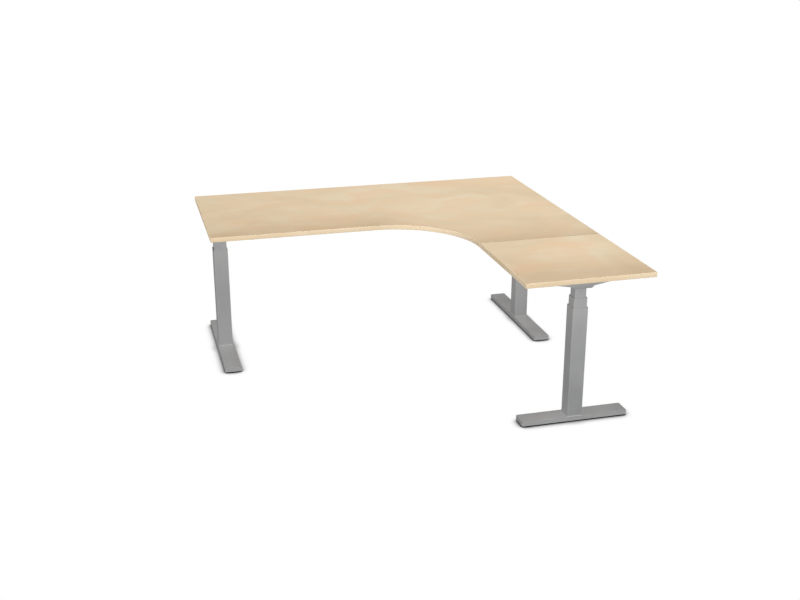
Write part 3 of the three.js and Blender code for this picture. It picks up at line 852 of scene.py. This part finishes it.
def add_weld(name, paint):
    """The painted weld bead round the foot of a column."""
    low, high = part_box(f"outer_tube_{name}")
    bead = [
        (0.2 * MM, low.z - 0.2 * MM), (-1.1 * MM, low.z - 0.2 * MM), (-0.9 * MM, low.z + 0.4 * MM),
        (-0.4 * MM, low.z + 0.9 * MM), (0.2 * MM, low.z + 1.1 * MM),
    ]
    solid = upright(tube_sides(low, high), bead, closed=True)
    add_piece(f"weld_bead_{name}", moved(solid, leg_place(name)), paint, "silver_paint", "base")


def housing_block(length, width, bottom, top):
    """A housing of two cast halves along Y, with a parting groove, chamfered below."""
    half, chamfered = length / 2, bottom + HOUSING_CHAMFER
    side = [
        (-half + HOUSING_CHAMFER, bottom, 4 * MM, 4),
        (half - HOUSING_CHAMFER, bottom, 4 * MM, 4),
        (half, chamfered, 4 * MM, 4),
        (half, top, 1.5 * MM, 3),
        (-half, top, 1.5 * MM, 3),
        (-half, chamfered, 4 * MM, 4),
    ]
    faces = block_profile(-width / 2, width / 2, HOUSING_ROUNDING)
    middle = len(faces) // 2
    parting = [
        (0, -HOUSING_GROOVE), (HOUSING_GROOVE, -HOUSING_GROOVE / 2),
        (HOUSING_GROOVE, HOUSING_GROOVE / 2), (0, HOUSING_GROOVE),
    ]
    profile = faces[:middle] + parting + faces[middle:]
    return moved(upright(side, profile), Matrix.Rotation(pi / 2, 4, "X"))


def add_head(name, metal, steel):
    """The gear housing with ribs at both ends, and the screws below it."""
    low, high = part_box(f"gear_housing_{name}")
    size = high - low
    length, width = max(size.x, size.y), min(size.x, size.y)
    end = length / 2
    ribs = [
        block(
            (side * end - 0.2 * MM, row * RIB_PITCH - RIB_HALF, low.z + HOUSING_CHAMFER + 6 * MM),
            (side * end + 1.8 * MM, row * RIB_PITCH + RIB_HALF, high.z - 6 * MM),
            0.6 * MM,
        )
        for side in (-1, 1) for row in (-2, -1, 1, 2)
    ]
    heads = [
        moved(screw(*SCREWS["housing"]), at(x, y, low.z))
        for x, y in four_places(HOUSING_SCREW_PLACE, HOUSING_SCREW_PLACE)
    ]
    place = leg_place(name)
    case = merged(housing_block(length, width, low.z, high.z), *ribs)
    add_piece(f"gear_case_{name}", moved(case, place), metal, "cast_housing", "top", f"gear_housing_{name}")
    add_piece(f"gear_screws_{name}", moved(merged(*heads), place), steel, "zinc_steel", "top")


def motor_profile(radius, start, end):
    """(distance from the axis, place along it) of a can with a crimped seam and a stepped end cap."""
    seam = radius - 0.8 * MM
    cap = radius - 2.6 * MM
    return [
        (radius * 0.5, start), (radius - 0.6 * MM, start), (radius, start + 0.6 * MM),
        (radius, start + 9 * MM), (seam, start + 9.6 * MM),
        (seam, start + 11 * MM), (radius, start + 11.6 * MM),
        (radius, end - 15 * MM), (radius - 1 * MM, end - 14 * MM),
        (cap, end - 13 * MM), (cap, end - 2 * MM),
        (radius - 4 * MM, end), (7 * MM, end), (6.4 * MM, end - 0.6 * MM),
    ]


def add_motor(name, enamel):
    """The motor can, across the arm beside its gear housing."""
    low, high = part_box(f"motor_{name}")
    housing_low, housing_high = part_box(f"gear_housing_{name}")
    size = high - low
    housing_size = housing_high - housing_low
    start = min(housing_size.x, housing_size.y) / 2 + HAIR
    end = start + max(size.x, size.y)
    lay = at(0, 0, (low.z + high.z) / 2, 0, -pi / 2)
    can = moved(turned(motor_profile(size.z / 2, start, end), 56), lay)
    add_piece(f"motor_can_{name}", moved(can, leg_place(name)), enamel, "motor_paint", "top",
              f"motor_{name}")


def arm_section(x, bottom, top, width):
    """An arm's cross-section at x: an inverted channel with its flanges down to bottom."""
    side = width / 2
    inner_side = side - ARM_PLATE
    ceiling = top - ARM_PLATE
    inner_bend = ARM_BEND - ARM_PLATE + 1 * MM
    angles = quarter_turn(ARM_BEND_STEPS)
    outer = [(-side + ARM_BEND * (1 - cos(angle)), top - ARM_BEND * (1 - sin(angle))) for angle in angles]
    inner = [
        (inner_side - inner_bend * (1 - cos(angle)), ceiling - inner_bend * (1 - sin(angle)))
        for angle in angles
    ]
    left_out = [(-side, bottom)] + outer
    right_out = [(-y, z) for y, z in reversed(outer)] + [(side, bottom)]
    right_in = [(inner_side, bottom)] + inner
    left_in = [(-y, z) for y, z in reversed(inner)] + [(-inner_side, bottom)]
    return [Vector((x, y, z)) for y, z in left_out + right_out + right_in + left_in]


def arm_channel(length, width, bottom, top):
    """A bent-sheet channel, thinner to both ends, with a plate across each end."""
    half = length / 2
    thin = top - ARM_END_DEPTH
    slope = ARM_MIDDLE_HALF + 6 * MM
    stations = [
        (-half, thin), (-slope, bottom + 1 * MM), (-ARM_MIDDLE_HALF, bottom),
        (ARM_MIDDLE_HALF, bottom), (slope, bottom + 1 * MM), (half, thin),
    ]
    channel = loft([list(reversed(arm_section(x, z, top, width))) for x, z in stations])
    inside = width / 2 - ARM_PLATE + 0.2 * MM
    ends = []
    for side in (1, -1):
        face = side * (half - 0.3 * MM)
        back = face - side * ARM_PLATE
        ends.append(block(
            (min(face, back), -inside, thin + 0.4 * MM),
            (max(face, back), inside, top - ARM_PLATE + 0.2 * MM),
            0.3 * MM,
        ))
    return merged(channel, *ends)


def add_arm(name, paint, steel):
    """A support arm with a notch for the motor, slots in its plate, and the screws through them."""
    low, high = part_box(f"support_arm_{name}")
    size = high - low
    length, width = max(size.x, size.y), min(size.x, size.y)
    top, bottom = high.z, low.z
    notch = block((-24 * MM, 20 * MM, bottom - 10 * MM), (24 * MM, width, top - ARM_NOTCH_DROP), 2 * MM)
    slots = []
    heads = []
    screw_x = [length / 2 - inset for inset in ARM_SCREW_INSETS]
    for x in screw_x + [-x for x in screw_x]:
        for y in (-ARM_SCREW_SIDE, ARM_SCREW_SIDE):
            slot_sides = rectangle(16 * MM, 6.4 * MM, 3.1 * MM, 6, (x, y))
            slots.append(upright(slot_sides, [(0, top - 8 * MM), (0, top + 5 * MM)]))
            heads.append(moved(screw(*SCREWS["arm"]), at(x, y, top - ARM_PLATE - 0.1 * MM)))
    piece = make_object(f"arm_{name}", arm_channel(length, width, bottom, top), paint)
    cut(piece, merged(notch, *slots))
    piece.data.transform(leg_place(name))
    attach(piece, "top")
    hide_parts(f"support_arm_{name}")
    add_piece(f"arm_screws_{name}", moved(merged(*heads), leg_place(name)), steel, "zinc_steel", "top")


def paint_inner_parts(name, plastic, steel):
    """Gives a column's own slide liners and drive parts their materials."""
    stems = {
        "outer_guide": plastic,
        "middle_guide": plastic,
        "nut_tube": steel,
        "drive_tube": steel,
        "spindle": steel,
    }
    for stem, material in stems.items():
        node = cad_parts[f"{stem}_{name}"]
        node.data.materials.clear()
        node.data.materials.append(material)


# ---------------------------------------------------------------- rails, plates, electrics


def add_rails(paint, steel):
    """Rectangular tubes with rounded corners, each with its fixing bolts below."""
    for node in ("main_rail_front", "main_rail_back", "return_rail_left", "return_rail_right"):
        low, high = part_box(node)
        size = high - low
        half = max(size.x, size.y) / 2
        sides = rectangle(min(size.x, size.y), size.z, RAIL_CORNER, 5)
        tube = upright(sides, tube_profile(-half, half, RAIL_WALL), closed=True)
        lay = Matrix.Rotation(pi / 2, 4, "Y") @ Matrix.Rotation(pi / 2, 4, "Z")
        turn = Matrix.Rotation(0 if size.x > size.y else pi / 2, 4, "Z")
        place = Matrix.Translation((low + high) / 2) @ turn
        add_piece(f"tube_{node}", moved(tube, place @ lay), paint, "silver_paint", "top", node)
        bolt_x = [half - inset for inset in RAIL_BOLT_INSETS]
        heads = [
            moved(screw(*SCREWS["rail"]), at(x, 0, -size.z / 2))
            for x in [-x for x in bolt_x] + list(reversed(bolt_x))
        ]
        add_piece(f"bolts_{node}", moved(merged(*heads), place), steel, "zinc_steel", "top")


def add_joining_plates(steel):
    """The two plates below the seam, with eight screws each."""
    for i in (1, 2):
        low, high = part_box(f"joining_plate_{i}")
        size, middle = high - low, (high + low) / 2
        sides = rectangle(size.x, size.y, 6 * MM, 6, (middle.x, middle.y))
        plate = upright(sides, block_profile(low.z, high.z, 0.5 * MM, 3))
        heads = [
            moved(screw(*SCREWS["plate"]), at(middle.x + x * MM, middle.y + y * MM, low.z))
            for x in (-9, 9) for y in (-46, -22, 22, 46)
        ]
        add_piece(f"plate_{i}", merged(plate, *heads), steel, "zinc_steel", "top", f"joining_plate_{i}")


def socket_rows():
    """The places of the control box's motor sockets across its width."""
    return [(i - (SOCKET_COUNT - 1) / 2) * SOCKET_PITCH for i in range(SOCKET_COUNT)]


def control_case(length, bottom, top):
    """The control box's rounded case, with a seam between its tray and its lid."""
    seam = bottom + BOX_SEAM_HEIGHT
    tray = block_profile(bottom, seam, 2.5 * MM)
    lid = block_profile(seam, top, 1 * MM)
    groove = [
        (0, seam - 0.6 * MM), (0.6 * MM, seam - 0.3 * MM),
        (0.6 * MM, seam + 0.3 * MM), (0, seam + 0.6 * MM),
    ]
    half = len(tray) // 2
    return upright(rectangle(length, BOX_WIDTH, 6 * MM, 8), tray[:half] + groove + lid[half:])


def control_openings(end, bottom, middle):
    """The sockets at the left end, the inlet at the right end, and the cooling grooves below."""
    sockets = [
        block((-end - 2 * MM, y - 5.5 * MM, middle - 4 * MM),
              (-end + 10 * MM, y + 5.5 * MM, middle + 4 * MM), 0.8 * MM)
        for y in socket_rows()
    ]
    inlet = block((end - 16 * MM, -13.5 * MM, middle - 10 * MM),
                  (end + 2 * MM, 13.5 * MM, middle + 10 * MM), 1.5 * MM)
    grooves = [
        block((end * i / 8 - 1.4 * MM, -32 * MM, bottom - 2 * MM),
              (end * i / 8 + 1.4 * MM, 32 * MM, bottom + 1.2 * MM), 0.5 * MM)
        for i in range(-4, 5)
    ]
    return merged(*sockets, inlet, *grooves)


def control_pins(end, middle):
    """The three pins of the inlet, and four pins in each socket."""
    pins = [
        block((end - 15.5 * MM, y * MM - 1 * MM, middle + z * MM - 2 * MM),
              (end - 5 * MM, y * MM + 1 * MM, middle + z * MM + 2 * MM), 0.3 * MM)
        for y, z in ((-7, -2), (7, -2), (0, 3))
    ]
    pins += [
        block((-end + 3 * MM, y + aside * MM - 0.5 * MM, middle - 0.5 * MM),
              (-end + 9.5 * MM, y + aside * MM + 0.5 * MM, middle + 0.5 * MM), 0.1 * MM)
        for y in socket_rows() for aside in (-3, -1, 1, 3)
    ]
    return merged(*pins)


def add_control_box(plastic, steel):
    """The control box: its case with sockets, its lugs and screws, and its pins."""
    low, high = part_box("control_box")
    place = at((low.x + high.x) / 2, (low.y + high.y) / 2, 0)
    length, top, bottom = high.x - low.x, high.z, low.z
    end = length / 2
    middle = top - 20 * MM
    lugs = []
    heads = []
    lug_y, head_y = BOX_WIDTH / 2 + 6 * MM, BOX_WIDTH / 2 + 7 * MM
    for x, y in four_places(end - 40 * MM, lug_y):
        sides = rectangle(24 * MM, 16 * MM, 5 * MM, 6, (x, y))
        lugs.append(upright(sides, block_profile(top - 3 * MM, top, 0.4 * MM, 2)))
    for x, y in four_places(end - 40 * MM, head_y):
        heads.append(moved(screw(*SCREWS["control_box"]), at(x, y, top - 3 * MM)))
    piece = make_object("control_case", control_case(length, bottom, top), plastic)
    cut(piece, control_openings(end, bottom, middle))
    piece.data.transform(place)
    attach(piece, "top")
    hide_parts("control_box")
    add_piece("control_lugs", moved(merged(*lugs), place), plastic, "black_plastic", "top")
    add_piece("control_screws", moved(merged(*heads), place), steel, "zinc_steel", "top")
    add_piece("control_pins", moved(control_pins(end, middle), place), steel, "zinc_steel", "top")


def arrow(up):
    """A small triangle in the plane y = 0 that stands proud to -Y."""
    way = 1 if up else -1
    tip = [(-2.2 * MM, -1.3 * MM * way), (2.2 * MM, -1.3 * MM * way), (0, 2.0 * MM * way)]
    if not up:
        tip.reverse()
    return loft([[Vector((x, y, z)) for x, z in tip] for y in (0.3 * MM, -0.25 * MM)])


def dots(count):
    """Raised round marks in a row, in the plane y = 0."""
    dot = turned([(0.75 * MM, -0.3 * MM), (0.75 * MM, 0.15 * MM), (0.5 * MM, 0.3 * MM)], 20)
    marks = [moved(dot, at((i - (count - 1) / 2) * 2.6 * MM, 0, 0, 0, pi / 2)) for i in range(count)]
    return merged(*marks)


def pocket(node, gap, front, back, rounding):
    """The room for a node in the handset's face, from Y = front to Y = back, with a gap round it."""
    low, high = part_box(node)
    return block((low.x - gap, front, low.z - gap), (high.x + gap, back, high.z + gap), rounding)


def add_key(name, plastic, mark):
    """One key of the handset: its cap, and its raised mark."""
    node = f"button_{name}"
    low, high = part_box(node)
    size, middle = high - low, (low + high) / 2
    cap = upright(rectangle(size.x, size.z, 2 * MM, 6), block_profile(-high.y, -low.y, 0.7 * MM))
    lay = Matrix.Translation((middle.x, 0, middle.z)) @ Matrix.Rotation(pi / 2, 4, "X")
    add_piece(f"key_{name}", moved(cap, lay), plastic, "button_plastic", node, node)
    symbol = arrow(name == "up") if name in ("up", "down") else dots(int(name[-1]))
    place = at(middle.x, low.y, middle.z)
    add_piece(f"key_mark_{name}", moved(symbol, place), mark, "button_plastic", node)


def add_handset(plastic, key_plastic, mark, window):
    """The handset: a rounded case with pockets, a smoked window and four keys with raised marks."""
    low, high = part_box("handset_case")
    size, middle = high - low, (high + low) / 2
    sides = rectangle(size.x, size.y, 5 * MM, 8, (middle.x, middle.y))
    piece = make_object("handset_body", upright(sides, block_profile(low.z, high.z, 2 * MM, 5)), plastic)
    front = low.y - 2 * MM
    pane_low, pane_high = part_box("handset_window")
    pockets = [pocket(f"button_{name}", KEY_GAP, front, low.y + 9 * MM, 1 * MM) for name in BUTTONS]
    pockets.append(pocket("handset_window", WINDOW_GAP, front, pane_high.y + WINDOW_GAP, 0.8 * MM))
    cut(piece, merged(*pockets))
    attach(piece, "top")
    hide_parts("handset_case")
    pane = block(pane_low, pane_high, 0.3 * MM)
    add_piece("display_pane", pane, window, "screen", "top", "handset_window")
    for name in BUTTONS:
        add_key(name, key_plastic, mark)


# ---------------------------------------------------------------- everything together

add_camera()
add_world()
add_lights()
add_floor()
bpy.context.scene.view_settings.view_transform = "Standard"

laminates = {
    "main": maple_laminate("maple_laminate", *FRONT_SHADE_LINES["main"]),
    "return": maple_laminate("maple_laminate_return", *FRONT_SHADE_LINES["return"]),
}
strip = edge_strip()
silver = powder_coat("silver_powder_coat", (0.279, 0.280, 0.282))
casting = cast_metal()
enamel = motor_paint()
zinc = zinc_steel()
black = moulded_plastic("black_plastic", (0.022, 0.022, 0.024))
key_grey = moulded_plastic("key_plastic", (0.060, 0.063, 0.068), 0.48)
slide_grey = moulded_plastic("slide_plastic", (0.028, 0.028, 0.030), 0.4)
print_grey = moulded_plastic("key_print", (0.60, 0.60, 0.58), 0.5)
# The dark colour of the foot grooves' painted shade.
groove_shade_grey = moulded_plastic("foot_groove_shade", (0.090, 0.090, 0.092), 0.6)
# The dark colour of the seam's painted shade.
seam_shade = moulded_plastic("seam_shade_dark", (0.020, 0.015, 0.011), 0.7)
window = dark_window()

add_panels(laminates, strip, seam_shade)
for leg in LEGS:
    add_foot(leg, silver, groove_shade_grey, zinc)
    add_glides(leg, black, zinc)
    add_tubes(leg, silver)
    add_weld(leg, silver)
    add_head(leg, casting, zinc)
    add_motor(leg, enamel)
    add_arm(leg, silver, zinc)
    paint_inner_parts(leg, slide_grey, zinc)
add_rails(silver, zinc)
add_joining_plates(zinc)
add_control_box(black, zinc)
add_handset(black, key_grey, print_grey, window)
